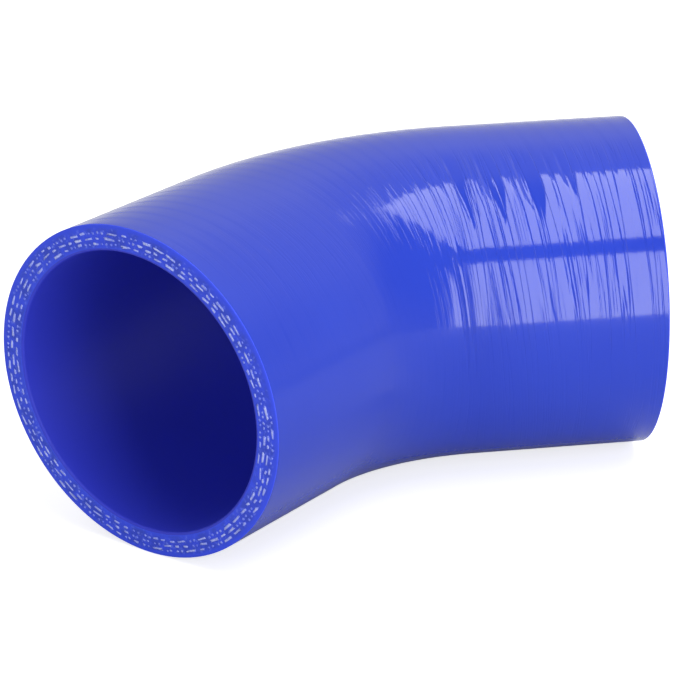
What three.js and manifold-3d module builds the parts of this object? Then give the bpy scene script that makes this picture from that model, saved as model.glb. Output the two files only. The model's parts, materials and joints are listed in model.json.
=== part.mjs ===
import * as THREE from 'three';
import { mergeVertices } from 'three/addons/utils/BufferGeometryUtils.js';
import Module from 'manifold-3d';

// A moulded elbow hose for engine coolant, one piece of silicone rubber, lying on its side.
// Millimetres, +Z up. The outlet leg runs along +X, and the inlet leg joins it at the bend
// angle from -X and -Y. The origin is on the ground, below the middle of the hose.

// Driving dimensions
const boreDiameter = 54;
const wallThickness = 5;
const inletLeg = 59;
const outletLeg = 59;
const bendRadius = 60;
const bendAngle = THREE.MathUtils.degToRad(45);

// The inlet end is cut slightly out of square, so that its top stands further out.
const inletLean = THREE.MathUtils.degToRad(3);
const outletLean = 0;

// Curing tape is wound over the rubber in a helix, and leaves fine laps that follow it. Each
// lap rises quickly at the edge of the lap before it, then falls slowly to its own edge.
const tapeLead = 26;
const lapsPerLead = 7;
const lapRise = 0.9;
const lapHeight = 0.12;

// Fineness of the faceted surfaces
const sides = 56;
const boreStep = 5;

// Sizes that follow from the driving dimensions
const boreRadius = boreDiameter / 2;
const outerRadius = boreRadius + wallThickness;
const tangentLength = bendRadius * Math.tan(bendAngle / 2);
const greatestLean = Math.max(Math.abs(inletLean), Math.abs(outletLean));
const lapWidth = tapeLead / lapsPerLead;
const surplus = tapeLead + lapWidth + outerRadius * Math.tan(greatestLean);

const wasm = await Module();
wasm.setup();

// The legs' axes cross at the zero of this frame, at half the hose's height.
const outletDirection = new THREE.Vector2(1, 0);
const inletDirection = outletDirection.clone().rotateAround(new THREE.Vector2(), bendAngle);

// Centre line of the uncut blank, drawn flat: the inlet leg, the bend and the outlet leg,
// with a surplus at both ends that is cut off later.
function centreLine() {
  const start = inletDirection.clone().multiplyScalar(-(inletLeg + surplus));
  const bendStart = inletDirection.clone().multiplyScalar(-tangentLength);
  const end = outletDirection.clone().multiplyScalar(outletLeg + surplus);
  const quarterTurn = Math.PI / 2;
  const line = new THREE.Path();
  line.moveTo(start.x, start.y);
  line.lineTo(bendStart.x, bendStart.y);
  line.absarc(tangentLength, -bendRadius, bendRadius, quarterTurn + bendAngle, quarterTurn, true);
  line.lineTo(end.x, end.y);
  return line;
}

// The flat centre line as a curve in space, which a section can be swept along.
class LevelCurve extends THREE.Curve {
  constructor(line) {
    super();
    this.line = line;
  }

  getPoint(share, target = new THREE.Vector3()) {
    const point = this.line.getPoint(share);
    return target.set(point.x, point.y, 0);
  }
}

// A closed body from a geometry whose shared vertices may still be doubled.
function solidOf(geometry) {
  const bare = geometry.clone();
  bare.deleteAttribute('normal');
  bare.deleteAttribute('uv');
  const merged = mergeVertices(bare);
  const vertProperties = new Float32Array(merged.attributes.position.array);
  const triVerts = new Uint32Array(merged.index.array);
  return new wasm.Manifold(new wasm.Mesh({ numProp: 3, vertProperties, triVerts }));
}

function geometryOf(solid) {
  const mesh = solid.getMesh();
  const geometry = new THREE.BufferGeometry();
  geometry.setAttribute('position', new THREE.BufferAttribute(mesh.vertProperties, 3));
  geometry.setIndex(new THREE.BufferAttribute(mesh.triVerts, 1));
  geometry.computeVertexNormals();
  return geometry;
}

// The bar that the hose is formed over, which leaves the smooth bore.
function mandrel(line) {
  const section = new THREE.Shape();
  section.absarc(0, 0, boreRadius, 0, 2 * Math.PI, false);
  const geometry = new THREE.ExtrudeGeometry(section, {
    extrudePath: new LevelCurve(line),
    steps: Math.ceil(line.getLength() / boreStep),
    curveSegments: sides / 2,
  });
  return solidOf(geometry);
}

// A point at a distance along the centre line, at an angle round it and a radius from it.
function pointAround(line, distance, angle, radius) {
  const share = distance / line.getLength();
  const centre = line.getPoint(share);
  const heading = line.getTangent(share);
  const sideways = radius * Math.cos(angle);
  return new THREE.Vector3(
    centre.x - heading.y * sideways,
    centre.y + heading.x * sideways,
    radius * Math.sin(angle),
  );
}

// The rubber as it leaves the tape: laps wound side by side round the centre line, where the
// low edge of each lap is also the foot of the next lap's rise. A cone closes each end.
function wrappedBlank(line) {
  const advance = tapeLead / sides;
  const steps = Math.floor((line.getLength() - tapeLead) / advance);
  const vertices = [];
  const triangles = [];

  const addVertex = (point) => vertices.push(point.x, point.y, point.z) / 3 - 1;
  const addQuad = (a, b, c, d) => triangles.push(a, b, c, a, c, d);
  const windRow = (start, radius, lastStep) => {
    const row = [];
    for (let step = 0; step <= lastStep; step += 1) {
      const angle = (2 * Math.PI * step) / sides;
      row.push(addVertex(pointAround(line, start + step * advance, angle, radius)));
    }
    return row;
  };

  const feet = [];
  const crests = [];
  for (let lap = 0; lap < lapsPerLead; lap += 1) {
    // The first lap's foot goes round once more, because the last lap of each turn meets it.
    const lastFoot = lap === 0 ? steps + sides : steps;
    feet.push(windRow(lap * lapWidth, outerRadius - lapHeight, lastFoot));
    crests.push(windRow(lap * lapWidth + lapRise, outerRadius, steps));
  }
  const foot = (lap, step) => (lap < lapsPerLead ? feet[lap][step] : feet[0][step + sides]);

  for (let lap = 0; lap < lapsPerLead; lap += 1) {
    const crest = crests[lap];
    for (let step = 0; step < steps; step += 1) {
      addQuad(foot(lap, step), foot(lap, step + 1), crest[step + 1], crest[step]);
      addQuad(crest[step], crest[step + 1], foot(lap + 1, step + 1), foot(lap + 1, step));
    }
  }

  // The open rim of the winding: one turn round, then back along its laps to where it began.
  const rimFrom = (firstStep) => {
    const rim = [];
    for (let step = firstStep; step < firstStep + sides; step += 1) {
      rim.push(foot(0, step));
    }
    for (let lap = lapsPerLead - 1; lap >= 0; lap -= 1) {
      rim.push(foot(lap + 1, firstStep), crests[lap][firstStep]);
    }
    return rim;
  };
  const closeRim = (rim, apexDistance) => {
    const apex = addVertex(pointAround(line, apexDistance, 0, 0));
    rim.forEach((vertex, place) => triangles.push(apex, vertex, rim[(place + 1) % rim.length]));
  };
  closeRim(rimFrom(0).reverse(), 0);
  closeRim(rimFrom(steps), line.getLength());

  const geometry = new THREE.BufferGeometry();
  geometry.setAttribute('position', new THREE.Float32BufferAttribute(vertices, 3));
  geometry.setIndex(triangles);
  return solidOf(geometry);
}

// What the knife takes off an end: a block whose face lies in the plane of the cut.
function offcut(outward, legLength, lean) {
  const blockSize = 3 * outerRadius;
  const block = new THREE.BoxGeometry(blockSize, blockSize, blockSize);
  block.translate(blockSize / 2, 0, 0);
  block.rotateY(lean);
  block.rotateZ(outward.angle());
  block.translate(outward.x * legLength, outward.y * legLength, 0);
  return solidOf(block);
}

function hoseGeometry() {
  const line = centreLine();
  const inletOffcut = offcut(inletDirection.clone().negate(), inletLeg, inletLean);
  const outletOffcut = offcut(outletDirection, outletLeg, outletLean);
  const hose = wrappedBlank(line)
    .subtract(mandrel(line))
    .subtract(inletOffcut)
    .subtract(outletOffcut);
  return geometryOf(hose);
}

const silicone = new THREE.MeshStandardMaterial({
  color: 0x4052d6,
  roughness: 0.28,
  metalness: 0,
});

// The hose rests on the ground, and its middle lies above the origin.
const elbowHose = new THREE.Mesh(hoseGeometry(), silicone);
elbowHose.name = 'elbow_hose';
elbowHose.geometry.computeBoundingBox();
const { min, max } = elbowHose.geometry.boundingBox;
elbowHose.position.set(-(min.x + max.x) / 2, -(min.y + max.y) / 2, -min.z);

const radiatorHose = new THREE.Group();
radiatorHose.add(elbowHose);

export default radiatorHose;
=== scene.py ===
import json
import logging
import math
import random
from dataclasses import dataclass, field
from enum import Enum

import bmesh
import bpy
from mathutils import Matrix, Vector, noise

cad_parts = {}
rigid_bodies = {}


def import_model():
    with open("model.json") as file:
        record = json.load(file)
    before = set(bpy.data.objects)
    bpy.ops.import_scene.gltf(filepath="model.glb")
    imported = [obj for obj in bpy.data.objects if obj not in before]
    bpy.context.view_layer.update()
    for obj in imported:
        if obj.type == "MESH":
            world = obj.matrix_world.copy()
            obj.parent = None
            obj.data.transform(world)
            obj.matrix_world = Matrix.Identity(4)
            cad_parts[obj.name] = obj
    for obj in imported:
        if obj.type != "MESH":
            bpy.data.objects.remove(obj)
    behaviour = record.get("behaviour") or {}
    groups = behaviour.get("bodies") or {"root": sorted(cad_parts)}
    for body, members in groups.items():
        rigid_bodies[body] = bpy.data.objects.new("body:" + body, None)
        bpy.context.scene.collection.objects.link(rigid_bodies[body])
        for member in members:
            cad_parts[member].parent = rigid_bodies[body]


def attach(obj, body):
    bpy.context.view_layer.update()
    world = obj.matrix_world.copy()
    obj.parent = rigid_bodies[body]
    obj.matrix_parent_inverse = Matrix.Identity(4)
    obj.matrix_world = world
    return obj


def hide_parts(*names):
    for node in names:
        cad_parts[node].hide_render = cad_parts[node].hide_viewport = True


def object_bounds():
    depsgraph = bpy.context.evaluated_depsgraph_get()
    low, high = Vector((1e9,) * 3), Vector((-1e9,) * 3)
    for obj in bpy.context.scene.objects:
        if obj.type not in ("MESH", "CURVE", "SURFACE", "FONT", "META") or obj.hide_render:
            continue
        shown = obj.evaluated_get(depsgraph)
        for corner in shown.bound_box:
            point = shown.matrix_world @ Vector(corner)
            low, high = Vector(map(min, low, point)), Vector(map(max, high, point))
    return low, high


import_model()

CAD_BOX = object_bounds()

log = logging.getLogger("elbow_hose")

MM = 0.001
UP = Vector((0, 0, 1))


class Zone(Enum):
    """The surfaces of the hose, each with a finish of its own, in material slot order."""

    SKIN = 0
    BORE = 1
    CUT = 2


class End(Enum):
    """The two open ends of the hose."""

    INLET = "inlet"
    OUTLET = "outlet"


# Seeds of the small differences between the yarns of each end
YARN_SEEDS = {End.INLET: 7, End.OUTLET: 19}


def smooth_ramp(value: float, low: float, high: float) -> float:
    """Ease from 0 at low to 1 at high.

    Args:
        value: Where on the ramp.
        low: Where the ramp starts.
        high: Where the ramp ends.

    Returns:
        A share between 0 and 1.
    """
    share = min(max((value - low) / (high - low), 0.0), 1.0)
    return share * share * (3 - 2 * share)


@dataclass(frozen=True)
class HoseForm:
    """The hose's sizes and its centre line, in metres and radians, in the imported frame.

    The rubber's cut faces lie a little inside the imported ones, which leaves room for the yarn
    ends. The plies are the depths between which the wall is fabric, as shares of its thickness.
    """

    wall: float = 5 * MM
    leg: float = 59 * MM
    bend_radius: float = 60 * MM
    bend_angle: float = math.radians(45)
    inlet_lean: float = math.radians(3)
    face_inset: float = 0.05 * MM
    plies: tuple = (0.22, 0.8)
    ply_fade: float = 0.1

    @property
    def outer_radius(self) -> float:
        """Outer radius of the hose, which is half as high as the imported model."""
        return (CAD_BOX[1].z - CAD_BOX[0].z) / 2

    @property
    def bore_radius(self) -> float:
        """Radius of the smooth bore."""
        return self.outer_radius - self.wall

    @property
    def straight(self) -> float:
        """Length of the straight stretch of each leg, up to the rubber's cut face."""
        return self.leg - self.bend_radius * math.tan(self.bend_angle / 2) - self.face_inset

    @property
    def length(self) -> float:
        """Length of the centre line between the rubber's cut faces."""
        return 2 * self.straight + self.bend_radius * self.bend_angle

    @property
    def bend_centre(self) -> Vector:
        """The point that the bend turns about, level with the centre line."""
        high = CAD_BOX[1]
        across = high.y - self.outer_radius - self.bend_radius
        return Vector((high.x - self.face_inset - self.straight, across, self.outer_radius))

    def on_line(self, distance: float) -> tuple[Vector, Vector]:
        """Find a place on the centre line.

        Args:
            distance: Distance from the middle of the inlet's cut face.

        Returns:
            The point, and the direction of flow there.
        """
        into_bend = distance - self.straight
        turn = min(max(into_bend / self.bend_radius, 0), self.bend_angle)
        heading = Vector((
            math.cos(self.bend_angle - turn),
            math.sin(self.bend_angle - turn),
            0,
        ))
        point = self.bend_centre + UP.cross(heading) * self.bend_radius
        return point + heading * (into_bend - turn * self.bend_radius), heading

    def on_tube(self, distance: float, angle: float, radius: float) -> Vector:
        """Find a place round the centre line.

        Args:
            distance: Distance from the inlet along the centre line.
            angle: Angle round the line, from the left of the flow over the top.
            radius: Distance from the line.

        Returns:
            The point.
        """
        centre, heading = self.on_line(distance)
        sideways = UP.cross(heading) * math.cos(angle)
        return centre + (sideways + UP * math.sin(angle)) * radius

    def ply_share(self, radius: float) -> float:
        """Tell how much of the wall is fabric.

        Args:
            radius: Distance from the centre line.

        Returns:
            A share between 0 and 1.
        """
        depth = (self.outer_radius - radius) / self.wall
        outer, inner = self.plies
        begun = smooth_ramp(depth, outer - self.ply_fade, outer)
        return begun * (1 - smooth_ramp(depth, inner, inner + self.ply_fade))

    def end_plane(self, end: End) -> tuple[Vector, Vector, Vector]:
        """Describe a cut face.

        Args:
            end: Which end.

        Returns:
            The middle of the rubber's face, the flow's direction there, and the direction in
            the face that points to the top.
        """
        if end is End.OUTLET:
            return *self.on_line(self.length), UP
        centre, heading = self.on_line(0)
        return centre, heading, (UP - heading * math.tan(self.inlet_lean)).normalized()


@dataclass(frozen=True)
class Hollow:
    """A narrow hollow along the winding, tapering to a tip like a pennant.

    It has a place and a width on the wound distance, and starts and ends at angles round the hose.
    """

    wound: float
    width: float
    start: float
    tip: float

    def width_at(self, angle: float, taper: float) -> float:
        """Find the width at a place.

        Args:
            angle: Angle round the hose.
            taper: Length of the tip, as an angle.

        Returns:
            The width, in metres.
        """
        return self.width * min(max((self.tip - angle) / taper, 0), 1)


@dataclass(frozen=True)
class TapeMarks:
    """The fine laps, creases and hollows that the curing tape leaves in the outer skin.

    The marks follow the tape, so they are laid out on the wound distance: the distance along the
    hose, less what the tape advances by that angle. The winding is counted once from the inside
    of the bend and once from the outside, and the two layouts fade into each other between.
    """

    form: HoseForm
    reach: float = 0.3 * MM

    # The tape's laps, strong over the top and faint on the sides
    lead: float = 26 * MM
    laps_per_lead: int = 7
    lap_rise: float = 0.9 * MM
    lap_height: float = 0.052 * MM
    lap_calm: float = 0.55
    lap_patch: float = 14 * MM
    lap_full: float = math.radians(100)
    lap_faint: float = math.radians(135)
    lap_faint_share: float = 0.25

    # How far the winding slants, in the middle of the hose and at its ends, and its two layouts
    full_slant: float = 0.110
    end_slant: float = 0.03
    slant_run: float = 32 * MM
    layout_gap: float = 2.0
    fade_from: float = math.radians(95)
    fade_to: float = math.radians(130)

    # Fine creases
    crease_spacing: float = 1.9 * MM
    crease_reach: float = 40 * MM
    crease_width: float = 0.11
    crease_depth: float = 0.006 * MM

    # Tapering hollows
    hollow_slope: float = 0.125
    hollow_drop: float = 0.8
    hollow_fade: float = math.radians(10)
    hollow_taper: float = math.radians(16)
    hollows: tuple = (
        Hollow(72.6 * MM, 1.2 * MM, math.radians(106), math.radians(129)),
        Hollow(76.2 * MM, 1.7 * MM, math.radians(106), math.radians(131)),
        Hollow(81.1 * MM, 4.0 * MM, math.radians(106), math.radians(141)),
        Hollow(85.4 * MM, 1.4 * MM, math.radians(106), math.radians(131)),
        Hollow(88.1 * MM, 3.9 * MM, math.radians(106), math.radians(140)),
        Hollow(91.6 * MM, 1.3 * MM, math.radians(106), math.radians(134)),
        Hollow(94.9 * MM, 4.2 * MM, math.radians(106), math.radians(142)),
        Hollow(99.0 * MM, 1.2 * MM, math.radians(106), math.radians(131)),
        Hollow(101.7 * MM, 2.7 * MM, math.radians(106), math.radians(136)),
        Hollow(107.6 * MM, 1.4 * MM, math.radians(106), math.radians(128)),
        Hollow(110.0 * MM, 1.4 * MM, math.radians(106), math.radians(127)),
        Hollow(71.9 * MM, 2.2 * MM, math.radians(141), math.radians(192)),
        Hollow(75.0 * MM, 1.9 * MM, math.radians(141), math.radians(192)),
    )

    # Where the skin is lively with creases, and how calm it is elsewhere
    calm: float = 0.3
    lively_from: float = 50 * MM
    lively_to: float = 85 * MM
    wrinkled_from: float = math.radians(112)
    wrinkled_in_bend: float = math.radians(136)
    wrinkled_in_leg: float = math.radians(178)
    bend_calm_from: float = 66 * MM
    bend_calm_to: float = 76 * MM
    wrinkle_fade: float = math.radians(12)
    top_share: float = 0.08
    side_share: float = 0.35

    def wound(self, distance: float, turned: float) -> float:
        """Find the wound distance of a place.

        Args:
            distance: Distance along the centre line.
            turned: Angle from the middle of the layout, between minus and plus half a turn.

        Returns:
            The distance along the hose at which the same mark crosses the layout's middle.
        """
        to_end = min(distance, self.form.length - distance)
        share = smooth_ramp(to_end, 0, self.slant_run)
        slant = self.end_slant + (self.full_slant - self.end_slant) * share
        return distance - slant * self.form.outer_radius * turned

    def layouts(self, distance: float, angle: float) -> tuple[Vector, Vector, float]:
        """Find a place in both layouts of the winding.

        Args:
            distance: Distance along the centre line.
            angle: Angle round it, from the outside of the bend over the top.

        Returns:
            The place in the inside layout and in the outside layout, in millimetres, and the
            share of the outside layout there.
        """
        inside_turn = angle - math.pi
        outside_turn = angle if angle < math.pi else angle - 2 * math.pi
        radius = self.form.outer_radius / MM
        across = (radius * math.cos(angle), radius * math.sin(angle))
        apart = self.layout_gap * radius
        inside = Vector((self.wound(distance, inside_turn) / MM, *across))
        outside = Vector((self.wound(distance, outside_turn) / MM + apart, *across))
        return inside, outside, smooth_ramp(abs(inside_turn), self.fade_from, self.fade_to)

    def crease(self, place: Vector) -> float:
        """Find the depth of the creases at a place of one layout.

        Args:
            place: The place, in millimetres.

        Returns:
            The depth below the highest surface, in metres.
        """
        spacing, reach = self.crease_spacing / MM, self.crease_reach / MM
        level = noise.noise((place.x / spacing, place.y / reach, place.z / reach))
        return self.crease_depth * math.exp(-((level / self.crease_width) ** 2))

    def hollow(self, wound: float, angle: float) -> float:
        """Find the depth of the hollows, each with one short steep side and one long slope.

        Args:
            wound: The wound distance in the inside layout.
            angle: Angle round the hose, from the outside of the bend over the top.

        Returns:
            The depth below the highest surface, in metres.
        """
        deepest = 0.0
        for hollow in self.hollows:
            width = hollow.width_at(angle, self.hollow_taper)
            into = wound - hollow.wound + width / 2
            sides = min(self.hollow_drop * into, self.hollow_slope * (width - into))
            begun = smooth_ramp(angle, hollow.start, hollow.start + self.hollow_fade)
            deepest = max(deepest, sides * begun)
        return deepest

    def lap(self, distance: float, angle: float) -> float:
        """Find the depth below the crest of a tape lap.

        Args:
            distance: Distance along the centre line.
            angle: Angle round it.

        Returns:
            The depth, in metres.
        """
        width = self.lead / self.laps_per_lead
        along = (distance - self.lead * angle / (2 * math.pi)) % width
        patch = self.form.on_tube(distance, angle, self.form.outer_radius) / self.lap_patch
        height = self.lap_height * (self.lap_calm + (1 - self.lap_calm) * noise.noise(patch))
        from_top = smooth_ramp(angle, self.lap_full, self.lap_faint)
        height *= 1 - (1 - self.lap_faint_share) * from_top
        if along < self.lap_rise:
            return height * (1 - along / self.lap_rise)
        return height * (along - self.lap_rise) / (width - self.lap_rise)

    def liveliness(self, distance: float, angle: float) -> float:
        """Tell how strong the creases are: full on the inner side of the outlet leg.

        Args:
            distance: Distance along the centre line.
            angle: Angle round it.

        Returns:
            A share between 0 and 1.
        """
        share = smooth_ramp(distance, self.lively_from, self.lively_to)
        along = self.calm + (1 - self.calm) * share
        in_leg = smooth_ramp(distance, self.bend_calm_from, self.bend_calm_to)
        to = self.wrinkled_in_bend + (self.wrinkled_in_leg - self.wrinkled_in_bend) * in_leg
        above = 1 - smooth_ramp(angle, self.wrinkled_from - self.wrinkle_fade, self.wrinkled_from)
        below = smooth_ramp(angle, to, to + self.wrinkle_fade)
        return along * (1 - (1 - self.top_share) * above - (1 - self.side_share) * below)

    def depth(self, distance: float, angle: float) -> float:
        """Find the whole depth of the marks at a place.

        Args:
            distance: Distance along the centre line.
            angle: Angle round it.

        Returns:
            How far the skin lies below the outer radius, in metres.
        """
        inside, outside, share = self.layouts(distance, angle)
        lively = self.liveliness(distance, angle)
        wound = self.wound(distance, angle - math.pi)
        marks = (1 - share) * (self.crease(inside) * lively + self.hollow(wound, angle))
        marks += share * self.crease(outside) * lively
        return self.lap(distance, angle) + marks


class Wire:
    """A number in a material, on which arithmetic adds the Math nodes that it needs."""

    def __init__(self, bench: "NodeBench", socket: bpy.types.NodeSocket | None) -> None:
        """Wrap an output socket.

        Args:
            bench: The bench of the socket's node tree.
            socket: The socket, or None for a node that closes the tree.
        """
        self.bench = bench
        self.socket = socket

    def _math(self, operation: str, first: "Wire | float", second: "Wire | float") -> "Wire":
        """Add a Math node.

        Args:
            operation: The node's operation.
            first: A wire or a number.
            second: A wire or a number.

        Returns:
            The result as a wire.
        """
        return self.bench.node("ShaderNodeMath", {"operation": operation}, {0: first, 1: second})

    def __add__(self, other: "Wire | float") -> "Wire":
        """Add.

        Args:
            other: A wire or a number.

        Returns:
            The sum as a wire.
        """
        return self._math("ADD", self, other)

    __radd__ = __add__

    def __sub__(self, other: "Wire | float") -> "Wire":
        """Subtract.

        Args:
            other: A wire or a number.

        Returns:
            The difference as a wire.
        """
        return self._math("SUBTRACT", self, other)

    def __rsub__(self, other: float) -> "Wire":
        """Subtract from a number.

        Args:
            other: The number.

        Returns:
            The difference as a wire.
        """
        return self._math("SUBTRACT", other, self)

    def __mul__(self, other: "Wire | float") -> "Wire":
        """Multiply.

        Args:
            other: A wire or a number.

        Returns:
            The product as a wire.
        """
        return self._math("MULTIPLY", self, other)

    __rmul__ = __mul__

    def __abs__(self) -> "Wire":
        """Drop the sign.

        Returns:
            The number without its sign, as a wire.
        """
        return self._math("ABSOLUTE", self, 0.0)

    def at_least(self, other: "Wire | float") -> "Wire":
        """Take the larger of two numbers.

        Args:
            other: A wire or a number.

        Returns:
            The larger one as a wire.
        """
        return self._math("MAXIMUM", self, other)


@dataclass(frozen=True)
class Grain:
    """A noise in a material: how fine it is, on all axes or on each, and its layers of detail."""

    scale: float | tuple
    detail: int


class NodeBench:
    """The node tree of a material or of the world, emptied to be built anew."""

    # Sockets of the Mix node that take part when it mixes colours
    MIX_SHARE, MIX_FIRST, MIX_SECOND, MIX_RESULT = 0, 6, 7, 2

    def __init__(self, owner: bpy.types.Material | bpy.types.World) -> None:
        """Clear the owner's node tree.

        Args:
            owner: The material or the world.
        """
        owner.use_nodes = True
        self.owner = owner
        self.tree = owner.node_tree
        self.tree.nodes.clear()

    @classmethod
    def for_material(cls, name: str) -> "NodeBench":
        """Start a new material.

        Args:
            name: Its name.

        Returns:
            Its bench.
        """
        return cls(bpy.data.materials.new(name))

    def node(
        self,
        kind: str,
        settings: dict[str, object],
        inputs: dict[int | str, object],
        output: int | str = 0,
    ) -> Wire:
        """Add a node.

        Args:
            kind: The node's type.
            settings: Its settings, set first.
            inputs: Values or wires by socket name or number.
            output: Which output to return.

        Returns:
            That output as a wire.
        """
        made = self.tree.nodes.new(kind)
        for name, value in settings.items():
            setattr(made, name, value)
        for name, value in inputs.items():
            if isinstance(value, Wire):
                self.tree.links.new(value.socket, made.inputs[name])
            else:
                made.inputs[name].default_value = value
        return Wire(self, made.outputs[output] if made.outputs else None)

    def ramp(self, value: Wire, low: float, high: float) -> Wire:
        """Ease a value from 0 at low to 1 at high.

        Args:
            value: The value.
            low: Where the ramp starts.
            high: Where the ramp ends.

        Returns:
            A share between 0 and 1.
        """
        limits = {"Value": value, "From Min": low, "From Max": high}
        return self.node("ShaderNodeMapRange", {"interpolation_type": "SMOOTHSTEP"}, limits)

    def tint(self, share: Wire, first: tuple | Wire, second: tuple | Wire) -> Wire:
        """Mix two colours.

        Args:
            share: The second colour's share.
            first: A colour, plain or as a wire.
            second: A colour, plain or as a wire.

        Returns:
            The mixed colour.
        """
        inputs = {
            self.MIX_SHARE: share,
            self.MIX_FIRST: self._colour(first),
            self.MIX_SECOND: self._colour(second),
        }
        return self.node("ShaderNodeMix", {"data_type": "RGBA"}, inputs, self.MIX_RESULT)

    @staticmethod
    def _colour(colour: tuple | Wire) -> tuple | Wire:
        """Give a plain colour its alpha.

        Args:
            colour: A colour, plain or as a wire.

        Returns:
            A value for a colour socket.
        """
        return colour if isinstance(colour, Wire) else (*colour, 1)

    def noise(self, place: Wire, grain: Grain) -> Wire:
        """Add a noise.

        Args:
            place: Where on the object or on the winding.
            grain: The noise's fineness and detail.

        Returns:
            A value between 0 and 1.
        """
        scale = grain.scale
        if isinstance(scale, tuple):
            stretch = {0: place, 1: scale}
            place = self.node("ShaderNodeVectorMath", {"operation": "MULTIPLY"}, stretch)
            scale = 1.0
        inputs = {"Vector": place, "Scale": scale, "Detail": grain.detail}
        return self.node("ShaderNodeTexNoise", {}, inputs)

    def attribute(self, name: str, output: str = "Fac") -> Wire:
        """Read an attribute of the mesh.

        Args:
            name: The attribute's name.
            output: Which output to read.

        Returns:
            Its value.
        """
        return self.node("ShaderNodeAttribute", {"attribute_name": name}, {}, output)

    def object_place(self) -> Wire:
        """Read the place on the object.

        Returns:
            The place, in metres.
        """
        return self.node("ShaderNodeTexCoord", {}, {}, "Object")

    def axis(self, vector: Wire, name: str) -> Wire:
        """Take one coordinate.

        Args:
            vector: A place or a direction.
            name: The coordinate's name.

        Returns:
            The coordinate.
        """
        return self.node("ShaderNodeSeparateXYZ", {}, {"Vector": vector}, name)

    def ray(self, kind: str) -> Wire:
        """Tell what kind of ray meets the surface.

        Args:
            kind: The kind of ray.

        Returns:
            1 where the ray is of that kind, 0 elsewhere.
        """
        return self.node("ShaderNodeLightPath", {}, {}, f"Is {kind} Ray")

    def bump(self, height: Wire, depth: float) -> Wire:
        """Turn a height into a surface normal.

        Args:
            height: The height, between 0 and 1.
            depth: What a height of 1 stands for, in metres.

        Returns:
            The normal.
        """
        inputs = {"Strength": 1.0, "Distance": depth, "Height": height}
        return self.node("ShaderNodeBump", {}, inputs, "Normal")

    def finish(self, **inputs: object) -> bpy.types.Material:
        """Close the material with a Principled shader.

        Args:
            inputs: The shader's inputs, with underscores for the spaces in their names.

        Returns:
            The material.
        """
        named = {name.replace("_", " "): value for name, value in inputs.items()}
        shader = self.node("ShaderNodeBsdfPrincipled", {}, named)
        self.node("ShaderNodeOutputMaterial", {}, {"Surface": shader})
        return self.owner


@dataclass(frozen=True)
class SiliconeSkin:
    """The glossy outer skin, with fine crease lines along the winding."""

    colour: tuple = (0.010, 0.038, 0.475)
    light_colour: tuple = (0.013, 0.045, 0.51)
    cloud: Grain = Grain(22, 3)
    cloud_limits: tuple = (0.3, 0.7)
    roughness: float = 0.07
    smear: Grain = Grain(70, 4)
    smear_roughness: float = 0.04
    ior: float = 1.5
    strong_lines: Grain = Grain((0.75, 0.02, 0.02), 1)
    strong_half_width: float = 0.042
    close_lines: Grain = Grain((1.5, 0.03, 0.03), 1)
    close_half_width: float = 0.06
    close_depth: float = 0.4
    crowds: Grain = Grain((0.22, 0.03, 0.03), 1)
    crowd_limits: tuple = (0.5, 0.64)
    noise_middle: float = 0.5
    groove_depth: float = 0.042 * MM

    def groove(self, bench: NodeBench, place: Wire, lines: Grain, half_width: float) -> Wire:
        """Make sharp grooves where a stretched noise crosses its middle.

        Args:
            bench: The material's bench.
            place: The place on the winding.
            lines: The noise.
            half_width: How far from its middle the noise still counts.

        Returns:
            1 at the bottom of a groove and 0 off it.
        """
        side = abs(bench.noise(place, lines) - self.noise_middle)
        return (1 - side * (1 / half_width)).at_least(0.0)

    def creases(self, bench: NodeBench, place: Wire) -> Wire:
        """Make the fine crease lines of one layout, single ones and crowds of closer ones.

        Args:
            bench: The material's bench.
            place: The place on the winding.

        Returns:
            1 on a line and 0 off it.
        """
        strong = self.groove(bench, place, self.strong_lines, self.strong_half_width)
        close = self.groove(bench, place, self.close_lines, self.close_half_width)
        crowded = bench.ramp(bench.noise(place, self.crowds), *self.crowd_limits)
        return strong.at_least(close * crowded * self.close_depth)

    def build(self) -> bpy.types.Material:
        """Make the finish.

        Returns:
            The material.
        """
        bench = NodeBench.for_material("silicone_skin")
        inside = self.creases(bench, bench.attribute("inside_winding", "Vector"))
        outside = self.creases(bench, bench.attribute("outside_winding", "Vector"))
        share = bench.attribute("outside_share")
        lines = (inside * (1 - share) + outside * share) * bench.attribute("liveliness")
        place = bench.object_place()
        cloud = bench.ramp(bench.noise(place, self.cloud), *self.cloud_limits)
        return bench.finish(
            Base_Color=bench.tint(cloud, self.colour, self.light_colour),
            Roughness=self.roughness + bench.noise(place, self.smear) * self.smear_roughness,
            IOR=self.ior,
            Normal=bench.bump(1 - lines, self.groove_depth),
        )


@dataclass(frozen=True)
class SmoothBore:
    """The bore, satin from the mandrel."""

    colour: tuple = (0.033, 0.046, 0.55)
    light_colour: tuple = (0.03696, 0.05152, 0.616)
    cloud: Grain = Grain(30, 2)
    roughness: float = 0.4
    cloud_roughness: float = 0.1
    specular: float = 0.25
    grain: Grain = Grain(500, 3)
    grain_depth: float = 0.008 * MM

    def build(self) -> bpy.types.Material:
        """Make the finish.

        Returns:
            The material.
        """
        bench = NodeBench.for_material("smooth_bore")
        place = bench.object_place()
        cloud = bench.noise(place, self.cloud)
        return bench.finish(
            Base_Color=bench.tint(cloud, self.colour, self.light_colour),
            Roughness=self.roughness + cloud * self.cloud_roughness,
            Specular_IOR_Level=self.specular,
            Normal=bench.bump(bench.noise(place, self.grain), self.grain_depth),
        )


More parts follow.
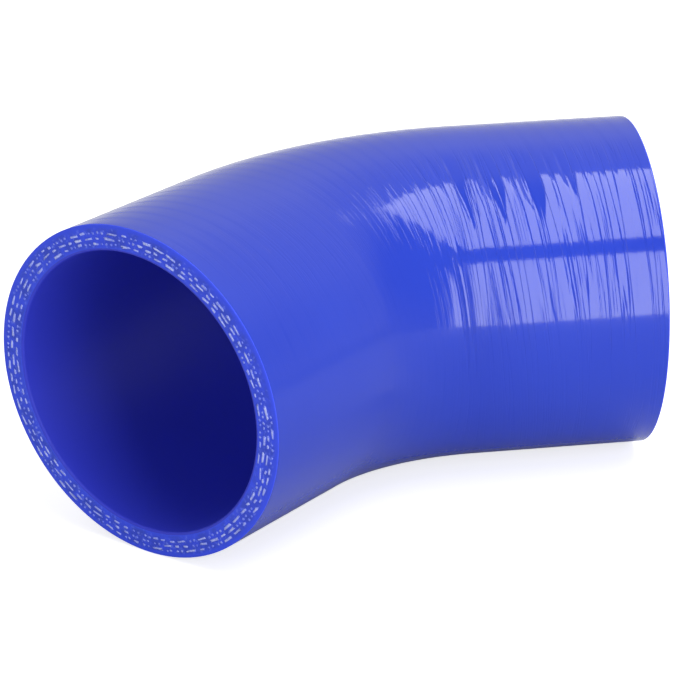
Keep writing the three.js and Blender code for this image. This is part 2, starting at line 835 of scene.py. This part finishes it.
@dataclass(frozen=True)
class KnifeCut:
    """The cut faces, matt, with fine drag marks and torn fibres between the yarns."""

    colour: tuple = (0.040, 0.080, 0.80)
    shade: tuple = (0.040, 0.072, 0.58)
    mottle: Grain = Grain(420, 3)
    mottle_limits: tuple = (0.35, 0.7)
    fibre_colour: tuple = (0.16, 0.23, 0.90)
    fibres: Grain = Grain(1500, 3)
    fibre_limits: tuple = (0.54, 0.8)
    roughness: float = 0.5
    mottle_roughness: float = 0.15
    specular: float = 0.25
    drag: Grain = Grain((60, 60, 900), 2)
    drag_depth: float = 0.02 * MM

    def build(self) -> bpy.types.Material:
        """Make the finish.

        Returns:
            The material.
        """
        bench = NodeBench.for_material("knife_cut")
        place = bench.object_place()
        ply = bench.attribute("ply_share")
        mottle = bench.ramp(bench.noise(place, self.mottle), *self.mottle_limits)
        fibres = bench.ramp(bench.noise(place, self.fibres), *self.fibre_limits)
        rubber = bench.tint(mottle * ply, self.colour, self.shade)
        return bench.finish(
            Base_Color=bench.tint(fibres * ply, rubber, self.fibre_colour),
            Roughness=self.roughness + mottle * self.mottle_roughness,
            Specular_IOR_Level=self.specular,
            Normal=bench.bump(bench.noise(place, self.drag), self.drag_depth),
        )


@dataclass(frozen=True)
class YarnFibre:
    """White yarn, stained blue where the rubber has soaked it."""

    white: tuple = (0.56, 0.62, 1.0)
    stained: tuple = (0.11, 0.17, 0.88)
    roughness: float = 0.6
    fibres: Grain = Grain(2600, 2)
    fibre_limits: tuple = (0.2, 0.6)
    fibre_depth: float = 0.03 * MM

    def build(self) -> bpy.types.Material:
        """Make the finish.

        Returns:
            The material.
        """
        bench = NodeBench.for_material("reinforcement_yarn")
        fibres = bench.noise(bench.object_place(), self.fibres)
        share = bench.attribute("cleanness") * bench.ramp(fibres, *self.fibre_limits)
        return bench.finish(
            Base_Color=bench.tint(share, self.stained, self.white),
            Roughness=self.roughness,
            Normal=bench.bump(fibres, self.fibre_depth),
        )


# Rows of vertices, each as a distance along the hose and a radius
Rows = list[tuple[float, float]]


@dataclass(frozen=True)
class Station:
    """One row of vertices round the hose, and the surface that starts at it."""

    distance: float
    radius: float
    zone: Zone


@dataclass(frozen=True)
class Profile:
    """The section of the wall, run once round: skin, outlet cut, bore and inlet cut."""

    form: HoseForm
    skin_row: float = 0.225 * MM
    bore_row: float = 2.4 * MM
    cut_rows: int = 12
    skin_round: float = 0.22 * MM
    bore_round: float = 0.5 * MM
    round_steps: int = 5

    def edge(self, corner: float, into: int, radius: float, size: float, spread: int) -> Rows:
        """Round an edge, from the cut face to the wall.

        Args:
            corner: Distance of the cut face.
            into: 1 at the inlet and -1 at the outlet.
            radius: Radius of the wall.
            size: Radius of the rounding.
            spread: 1 where the rounding widens towards the cut, -1 where it narrows.

        Returns:
            Pairs of distance and radius, the one on the cut face first.
        """
        pairs = []
        for step in range(self.round_steps + 1):
            turn = math.pi / 2 * step / self.round_steps
            along = corner + into * size * (1 - math.cos(turn))
            pairs.append((along, radius + spread * size * (1 - math.sin(turn))))
        return pairs

    def wall(self, radius: float, row: float, size: float, spread: int) -> Rows:
        """List the rows of one wall.

        Args:
            radius: Radius of the wall.
            row: Distance between rows.
            size: Radius of the rounding at both edges.
            spread: 1 where the rounding widens towards the cut, -1 where it narrows.

        Returns:
            Pairs of distance and radius, from the inlet's cut to the outlet's.
        """
        length = self.form.length
        inlet = self.edge(0, 1, radius, size, spread)
        outlet = self.edge(length, -1, radius, size, spread)
        plain = length - 2 * size
        steps = round(plain / row)
        middle = [(size + plain * n / steps, radius) for n in range(1, steps)]
        return inlet + middle + outlet[::-1]

    def cut(self, distance: float, start: float, stop: float) -> Rows:
        """List the rows within a cut face.

        Args:
            distance: Distance of the face.
            start: Radius of the wall that the rows come from.
            stop: Radius of the wall that they lead to.

        Returns:
            Pairs of distance and radius, between the two walls.
        """
        rows = self.cut_rows
        return [(distance, start + (stop - start) * n / rows) for n in range(1, rows)]

    def stations(self) -> list[Station]:
        """List the rows once round the section.

        Returns:
            The rows, with the first one again at the end.
        """
        form = self.form
        skin = self.wall(form.outer_radius, self.skin_row, self.skin_round, -1)
        bore = self.wall(form.bore_radius, self.bore_row, self.bore_round, 1)[::-1]
        outer, inner = skin[0][1], bore[0][1]
        first, last = self.round_steps, len(skin) - self.round_steps - 1
        runs = (
            (Zone.CUT, skin[:first]),
            (Zone.SKIN, skin[first:last]),
            (Zone.CUT, [*skin[last:], *self.cut(form.length, outer, inner)]),
            (Zone.BORE, bore[:-1]),
            (Zone.CUT, [bore[-1], *self.cut(0, inner, outer), skin[0]]),
        )
        return [Station(*pair, zone) for zone, run in runs for pair in run]


@dataclass
class HoseBody:
    """The whole hose as one closed body: outer skin, bore and both cut faces."""

    form: HoseForm
    marks: TapeMarks
    sides: int = 144
    weld: float = 0.001 * MM
    body: bpy.types.Object = field(init=False, default=None)

    def roll(self, bm: bmesh.types.BMesh) -> None:
        """Roll a flat grid, one unit wide, round the hose's section and its centre line.

        Args:
            bm: The mesh, with the layers for the winding.
        """
        stations = Profile(self.form).stations()
        strips = len(stations) - 1
        half = 0.5
        grid = bmesh.ops.create_grid(bm, x_segments=strips, y_segments=self.sides, size=half)
        for face in bm.faces:
            middle = face.calc_center_median().x + half
            face.material_index = stations[int(middle * strips)].zone.value
            face.smooth = True
        for vert in grid["verts"]:
            station = stations[round((vert.co.x + half) * strips)]
            step = round((vert.co.y + half) * self.sides) % self.sides
            self.place(bm, vert, station, 2 * math.pi * step / self.sides)
        bmesh.ops.remove_doubles(bm, verts=bm.verts, dist=self.weld)

    def place(self, bm: bmesh.types.BMesh, vert: bmesh.types.BMVert, station: Station,
              angle: float) -> None:
        """Move a vertex to its place and note the winding on it.

        Args:
            bm: The mesh.
            vert: The vertex.
            station: Its row.
            angle: Its angle round the centre line.
        """
        lean_share = max(1 - station.distance / self.form.straight, 0)
        lean = math.tan(self.form.inlet_lean) * lean_share
        distance = station.distance - lean * station.radius * math.sin(angle)
        radius = station.radius
        layers = bm.verts.layers
        inside, outside, share = self.marks.layouts(distance, angle)
        vert[layers.float_vector["inside_winding"]] = inside
        vert[layers.float_vector["outside_winding"]] = outside
        vert[layers.float["outside_share"]] = share
        vert[layers.float["ply_share"]] = self.form.ply_share(radius)
        if radius > self.form.outer_radius - self.marks.reach:
            vert[layers.float["liveliness"]] = self.marks.liveliness(distance, angle)
            radius -= self.marks.depth(distance, angle)
        vert.co = self.form.on_tube(distance, angle, radius)

    def build(self) -> None:
        """Model the body."""
        bm = bmesh.new()
        bm.verts.layers.float_vector.new("inside_winding")
        bm.verts.layers.float_vector.new("outside_winding")
        bm.verts.layers.float.new("outside_share")
        bm.verts.layers.float.new("liveliness")
        bm.verts.layers.float.new("ply_share")
        self.roll(bm)
        bmesh.ops.recalc_face_normals(bm, faces=bm.faces)
        mesh = bpy.data.meshes.new("hose_body")
        bm.to_mesh(mesh)
        bm.free()
        self.body = bpy.data.objects.new("hose_body", mesh)
        bpy.context.collection.objects.link(self.body)

    def dress(self) -> None:
        """Give each surface its finish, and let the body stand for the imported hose."""
        for finish in (SiliconeSkin(), SmoothBore(), KnifeCut()):
            self.body.data.materials.append(finish.build())
        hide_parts("elbow_hose")
        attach(self.body, "root")
        log.info("hose body: %d faces", len(self.body.data.polygons))


@dataclass(frozen=True)
class Stitch:
    """One way in which the fabric shows in a cut: a run of yarn ends of about one length.

    It has a weight against the other ways, a number of ends, and the limits of their length and
    of how clean they are.
    """

    weight: float
    count: int
    shortest: float
    longest: float
    palest: float
    cleanest: float


@dataclass
class YarnEnds:
    """The ends of the fabric's yarns in one cut face, in a spiral of about three turns."""

    form: HoseForm
    end: End
    seed: int

    # The fabric's spiral, with its depths as shares of the wall's thickness
    turns: float = 3.06
    first_angle: float = math.radians(195)
    first_depth: float = 0.795
    depth_per_turn: float = 0.178
    spread_outside_bend: float = 0.1

    # One yarn end: a crown within a frayed edge, both a little out of shape
    yarn_width: float = 0.56 * MM
    width_spread: tuple = (0.75, 1.15)
    off_line: float = 0.06 * MM
    tilt: float = math.radians(4)
    outline_spread: tuple = (0.74, 1.16)
    fray_width: float = 0.26
    frayed: float = 0.3
    rise: float = 0.9
    outline_points: int = 10

    # Runs of yarn ends, and the gaps in them and between them
    stitches: tuple = (
        Stitch(0.38, 1, 1.7 * MM, 2.6 * MM, 0.7, 1.0),
        Stitch(0.28, 1, 0.9 * MM, 1.4 * MM, 0.6, 1.0),
        Stitch(0.34, 2, 0.45 * MM, 0.65 * MM, 0.15, 0.6),
    )
    gap: tuple = (0.3 * MM, 0.5 * MM)
    stitch_gap: tuple = (0.1 * MM, 0.7 * MM)

    ends: bpy.types.Object = field(init=False, default=None)

    def place_at(self, turn: float) -> tuple[float, float]:
        """Find a place on the fabric's spiral.

        Args:
            turn: Number of turns from the fabric's inner edge.

        Returns:
            The angle and the radius.
        """
        angle = self.first_angle - 2 * math.pi * turn
        pitch = self.depth_per_turn * (1 + self.spread_outside_bend * (1 + math.cos(angle)))
        depth = self.first_depth - pitch * turn
        return angle, self.form.outer_radius - depth * self.form.wall

    def outward(self) -> Vector:
        """Find the direction in which the cut face looks.

        Returns:
            The direction.
        """
        heading = self.form.end_plane(self.end)[1]
        return heading if self.end is End.OUTLET else -heading

    def add_yarn(self, bm: bmesh.types.BMesh, turn: float, length: float, width: float,
                 cleanness: float, draw: random.Random) -> None:
        """Add one yarn end, a low domed body with a rounded outline.

        Args:
            bm: The mesh to add to.
            turn: Where along the spiral its middle lies.
            length: Its length round the hose.
            width: Its width.
            cleanness: How white it is, from 0 to 1.
            draw: Source of the small differences.
        """
        centre, heading, top = self.form.end_plane(self.end)
        left = UP.cross(heading)
        normal = self.outward()
        angle, radius = self.place_at(turn)
        radius += draw.gauss(0, self.off_line)
        outward = (left * math.cos(angle) + top * math.sin(angle)).normalized()
        along = left * math.sin(angle) - top * math.cos(angle)
        verts = bmesh.ops.create_circle(
            bm, segments=self.outline_points, radius=width / 2, cap_ends=True
        )["verts"]
        for vert in verts:
            vert.co.x += math.copysign(max(length - width, 0) / 2, vert.co.x)
            vert.co *= draw.uniform(*self.outline_spread)
        base = verts[0].link_faces[0]
        options = {"use_boundary": True, "use_even_offset": True}
        fray = width * self.fray_width
        crown = bmesh.ops.inset_region(bm, faces=[base], thickness=fray, **options)["faces"]
        rim = [edge for face in crown for edge in face.edges if edge.is_boundary]
        bmesh.ops.holes_fill(bm, edges=rim, sides=self.outline_points)
        top_verts = set(base.verts)
        bmesh.ops.translate(bm, vec=UP * self.form.face_inset * self.rise, verts=base.verts)
        made = list({vert for face in [base, *crown] for vert in face.verts})
        spun = Matrix.Rotation(draw.gauss(0, self.tilt), 4, "Z")
        bmesh.ops.transform(bm, matrix=spun, verts=made)
        basis = Matrix((along, outward, normal)).transposed().to_4x4()
        spot = centre + (left * math.cos(angle) + top * math.sin(angle)) * radius
        bmesh.ops.transform(bm, matrix=Matrix.Translation(spot) @ basis, verts=made)
        clean_layer = bm.verts.layers.float["cleanness"]
        for vert in made:
            vert[clean_layer] = cleanness * (1 if vert in top_verts else self.frayed)

    def build(self) -> None:
        """Lay the yarn ends along the spiral."""
        draw = random.Random(self.seed)
        bm = bmesh.new()
        bm.verts.layers.float.new("cleanness")
        turn = 0.0
        while turn < self.turns:
            once_round = 2 * math.pi * self.place_at(turn)[1]
            stitch = draw.choices(self.stitches, [each.weight for each in self.stitches])[0]
            cleanness = draw.uniform(stitch.palest, stitch.cleanest)
            for _ in range(stitch.count):
                length = draw.uniform(stitch.shortest, stitch.longest)
                width = self.yarn_width * draw.uniform(*self.width_spread)
                turn += length / 2 / once_round
                self.add_yarn(bm, turn, length, width, cleanness, draw)
                turn += (length / 2 + draw.uniform(*self.gap)) / once_round
            turn += draw.uniform(*self.stitch_gap) / once_round
        bmesh.ops.recalc_face_normals(bm, faces=bm.faces)
        for face in bm.faces:
            face.smooth = face.normal.dot(self.outward()) > 0
        name = f"{self.end.value}_yarn_ends"
        mesh = bpy.data.meshes.new(name)
        bm.to_mesh(mesh)
        bm.free()
        self.ends = bpy.data.objects.new(name, mesh)
        bpy.context.collection.objects.link(self.ends)

    def dress(self, fibre: bpy.types.Material) -> None:
        """Give the yarns their finish and let them ride with the hose.

        Args:
            fibre: The finish.
        """
        self.ends.data.materials.append(fibre)
        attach(self.ends, "root")
        log.info("%s: %d faces", self.ends.name, len(self.ends.data.polygons))


@dataclass(frozen=True)
class SoftLamp:
    """A flat soft lamp: where it is, its size, the way it faces and how bright it looks."""

    name: str
    centre: tuple
    width: float
    height: float
    facing: tuple
    radiance: float

    def build(self) -> None:
        """Make the lamp, unseen by the camera."""
        data = bpy.data.lights.new(self.name, "AREA")
        data.shape = "RECTANGLE"
        data.size = self.width
        data.size_y = self.height
        data.energy = self.radiance * math.pi * self.width * self.height
        lamp = bpy.data.objects.new(self.name, data)
        lamp.location = self.centre
        lamp.rotation_mode = "QUATERNION"
        lamp.rotation_quaternion = Vector(self.facing).to_track_quat("-Z", "Y")
        lamp.visible_camera = False
        bpy.context.collection.objects.link(lamp)


@dataclass(frozen=True)
class Studio:
    """The pale floor, the lamps, the world and the camera."""

    # The floor, and how bright it is in reflections: from nothing near the hose to full far off
    floor_size: float = 8.0
    floor_colour: float = 0.62
    floor_roughness: float = 0.9
    floor_lift: float = 0.72
    back_mirrored: float = 0.5
    back_floor: tuple = (0.05, 0.5)
    far_mirrored: float = 0.5
    far_floor: tuple = (0.35, 1.3)

    # The world as light, and as it is mirrored from the front, the back and the horizon
    world_light: float = 0.32
    back_glow: float = 0.42
    front_mirror: float = 0.5
    front_horizon: float = 0.15
    front_height: tuple = (0.0, 0.4)
    back_mirror: float = 1.0
    back_half: tuple = (-0.1, 0.3)
    back_horizon: float = 0.65
    back_end: tuple = (0.7, 1.0)

    lamps: tuple = (
        SoftLamp("ceiling_lamp", (0.23, -0.1925, 0.6), 0.28, 0.615, (0, 0, -1), 5.0),
        SoftLamp("front_panel", (0.206, -0.4, 0.175), 0.212, 0.35, (0, 1, 0), 5.0),
        SoftLamp("left_fill", (-0.95, -1.05, 0.45), 1.2, 1.0, (0.95, 1.05, -0.4), 1.5),
    )

    # The camera at the photograph's angle
    aim: tuple = (0.00077, -0.00620, 0.032)
    azimuth: float = math.radians(-8.165)
    elevation: float = math.radians(21.22)
    roll: float = math.radians(-1.015)
    distance: float = 0.5472
    lens: float = 154.97
    clip_start: float = 0.01

    def build_floor(self) -> None:
        """Make a level pale floor that shows white and keeps the shadow."""
        bm = bmesh.new()
        bmesh.ops.create_grid(bm, x_segments=1, y_segments=1, size=self.floor_size / 2)
        mesh = bpy.data.meshes.new("floor")
        bm.to_mesh(mesh)
        bm.free()
        floor = bpy.data.objects.new("floor", mesh)
        bpy.context.collection.objects.link(floor)
        bench = NodeBench.for_material("pale_floor")
        place = bench.object_place()
        back = bench.ramp(bench.axis(place, "Y"), *self.back_floor) * self.back_mirrored
        away = bench.node("ShaderNodeVectorMath", {"operation": "LENGTH"}, {0: place}, "Value")
        far = bench.ramp(away, *self.far_floor) * self.far_mirrored
        shown = bench.ray("Camera") + bench.ray("Glossy") * back.at_least(far)
        mesh.materials.append(
            bench.finish(
                Base_Color=(self.floor_colour, self.floor_colour, self.floor_colour, 1),
                Roughness=self.floor_roughness,
                Emission_Color=shown * self.floor_lift,
                Emission_Strength=1.0,
            )
        )

    def build_world(self) -> None:
        """Make a soft surround, white where it is seen and mirrored brightest at the back."""
        world = bpy.data.worlds.new("surround")
        world.use_nodes = True
        bpy.context.scene.world = world
        bench = NodeBench(world)
        direction = bench.node("ShaderNodeTexCoord", {}, {}, "Generated")
        backward = bench.axis(direction, "Y")
        back = bench.ramp(backward, *self.back_half)
        back_horizon = bench.ramp(backward, *self.back_end)
        raised = bench.ramp(bench.axis(direction, "Z"), *self.front_height)
        mirrored = self.front_mirror + back * (self.back_mirror - self.front_mirror)
        mirrored += (1 - raised) * (1 - back) * self.front_horizon
        mirrored -= back_horizon * (self.back_mirror - self.back_horizon)
        lighting = self.world_light + back * self.back_glow
        plain = lighting + (mirrored - lighting) * bench.ray("Glossy")
        strength = plain + (1 - plain) * bench.ray("Camera")
        background = bench.node("ShaderNodeBackground", {}, {"Color": strength, "Strength": 1.0})
        bench.node("ShaderNodeOutputWorld", {}, {"Surface": background})

    def build_camera(self) -> None:
        """Set the camera at the photograph's angle."""
        back = Vector((
            math.sin(self.azimuth) * math.cos(self.elevation),
            -math.cos(self.azimuth) * math.cos(self.elevation),
            math.sin(self.elevation),
        ))
        level = Vector((math.cos(self.azimuth), math.sin(self.azimuth), 0))
        upright = back.cross(level)
        right = level * math.cos(self.roll) + upright * math.sin(self.roll)
        above = back.cross(right)
        data = bpy.data.cameras.new("camera")
        data.lens = self.lens
        data.clip_start = self.clip_start
        camera = bpy.data.objects.new("camera", data)
        turned = Matrix((right, above, back)).transposed().to_4x4()
        camera.matrix_world = Matrix.Translation(Vector(self.aim) + back * self.distance) @ turned
        bpy.context.collection.objects.link(camera)
        bpy.context.scene.camera = camera

    def build(self) -> None:
        """Make everything round the hose."""
        self.build_floor()
        self.build_world()
        for lamp in self.lamps:
            lamp.build()
        self.build_camera()
        bpy.context.scene.view_settings.view_transform = "Standard"


def main() -> None:
    """Build the hose, its yarn ends and the studio."""
    logging.basicConfig(level=logging.INFO, format="%(name)s: %(message)s")
    form = HoseForm()
    hose = HoseBody(form, TapeMarks(form))
    hose.build()
    hose.dress()
    fibre = YarnFibre().build()
    for end, seed in YARN_SEEDS.items():
        yarns = YarnEnds(form, end, seed)
        yarns.build()
        yarns.dress(fibre)
    Studio().build()


if __name__ == "__main__":
    main()
